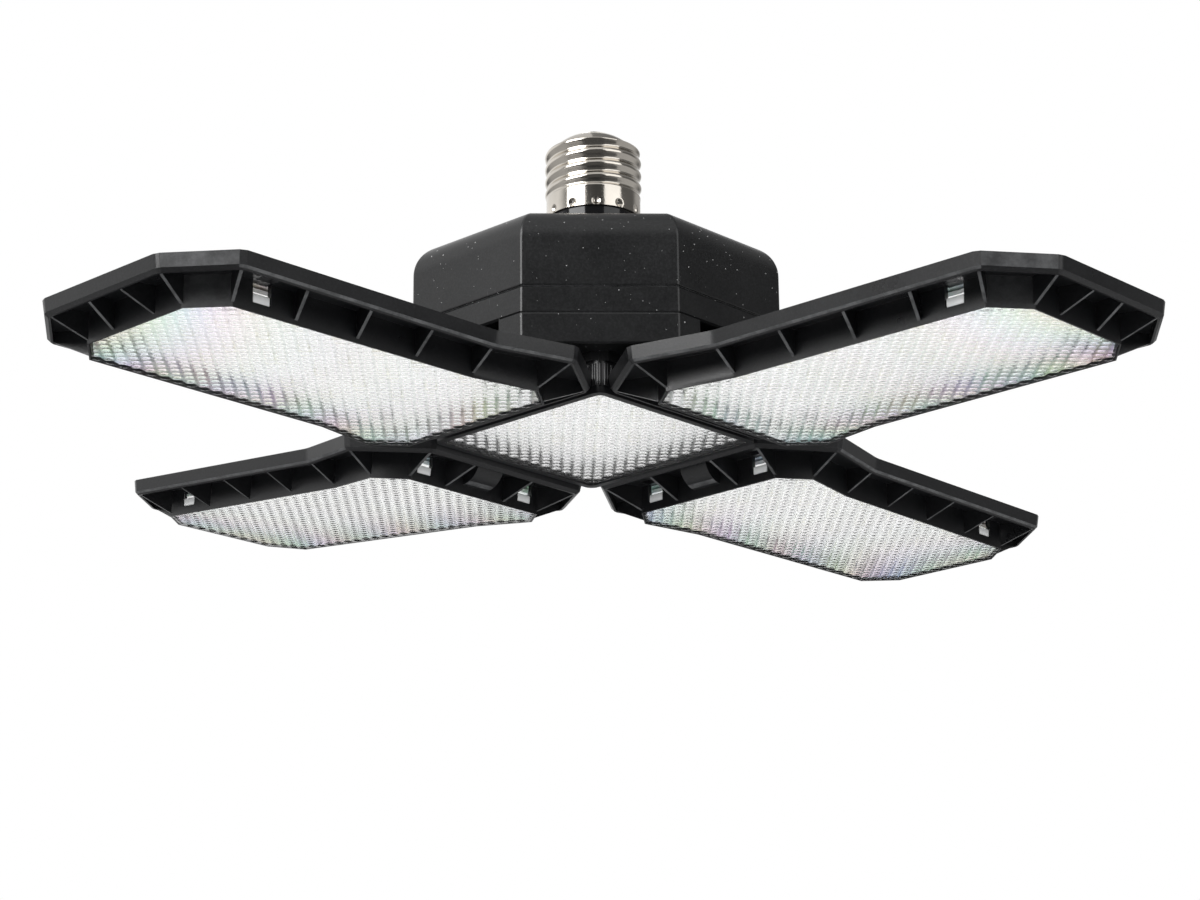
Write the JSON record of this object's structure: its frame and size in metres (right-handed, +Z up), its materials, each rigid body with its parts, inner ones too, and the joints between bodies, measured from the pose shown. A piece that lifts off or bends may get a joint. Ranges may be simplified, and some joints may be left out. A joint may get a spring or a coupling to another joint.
{
  "type": "deformable garage light",
  "caption": "Screw-base ceiling light: black octagonal housing, a square light facing down and ribbed light panels hinged round it that tilt up.",
  "frame": {"origin": "the tip of the screw base's centre contact", "axes": "+Z up along the screw base's axis, into the lampholder; -Y towards the picture's viewer; the panels point along the diagonals between X and Y"},
  "size_m": [0.2662, 0.2662, 0.0949],
  "materials": {
    "black": "satin moulded plastic with fine grain",
    "gloss_black": "glossy",
    "nickel": "nickel plate, lightly worn",
    "insulator": "glossy moulded",
    "lens": "clear with a lattice of small domes",
    "light_board": "white solder mask",
    "chip": "phosphor",
    "circuit_board": "solder mask",
    "winding": "taped winding and ferrite",
    "capacitor": "sleeved",
    "dark_steel": "blackened",
    "pin_steel": "plain",
    "lead_red": "insulation",
    "lead_white": "insulation"
  },
  "bodies": {
    "housing": {"centre_contact": "nickel", "contact_insulator": "insulator", "screw_shell": "nickel", "neck_collar": "gloss_black", "top_cover": "black", "base_housing": "black", "cover_screws": "dark_steel", "driver_board": "circuit_board", "driver_transformer": "winding", "driver_capacitors": "capacitor", "driver_small_parts": "capacitor", "driver_screws": "dark_steel", "live_lead": "lead_red", "neutral_lead": "lead_white", "hinge_brackets": "black", "bracket_screws": "dark_steel", "hinge_pins": "pin_steel", "friction_washers": "pin_steel", "centre_frame": "black", "centre_frame_screws": "dark_steel", "centre_light_board": "light_board", "centre_chips": "chip", "centre_board_screws": "pin_steel", "centre_lens": "lens"},
    "front_left_panel": {"front_left_frame": "black", "front_left_light_board": "light_board", "front_left_chips": "chip", "front_left_board_screws": "pin_steel", "front_left_lens": "lens"},
    "back_left_panel": {"back_left_frame": "black", "back_left_light_board": "light_board", "back_left_chips": "chip", "back_left_board_screws": "pin_steel", "back_left_lens": "lens"},
    "back_right_panel": {"back_right_frame": "black", "back_right_light_board": "light_board", "back_right_chips": "chip", "back_right_board_screws": "pin_steel", "back_right_lens": "lens"},
    "front_right_panel": {"front_right_frame": "black", "front_right_light_board": "light_board", "front_right_chips": "chip", "front_right_board_screws": "pin_steel", "front_right_lens": "lens"}
  },
  "joints": [
    {"name": "front_left_tilt", "type": "hinge", "parent": "housing", "child": "front_left_panel", "pos_m": [-0.03217, -0.03217, -0.07942], "axis": [-0.7071, 0.7071, 0], "range_deg": [0, 90.4]},
    {"name": "back_left_tilt", "type": "hinge", "parent": "housing", "child": "back_left_panel", "pos_m": [-0.03217, 0.03217, -0.07942], "axis": [0.7071, 0.7071, 0], "range_deg": [-5.9, 84.5]},
    {"name": "back_right_tilt", "type": "hinge", "parent": "housing", "child": "back_right_panel", "pos_m": [0.03217, 0.03217, -0.07942], "axis": [0.7071, -0.7071, 0], "range_deg": [0, 90.4]},
    {"name": "front_right_tilt", "type": "hinge", "parent": "housing", "child": "front_right_panel", "pos_m": [0.03217, -0.03217, -0.07942], "axis": [-0.7071, -0.7071, 0], "range_deg": [0, 90.4]}
  ]
}
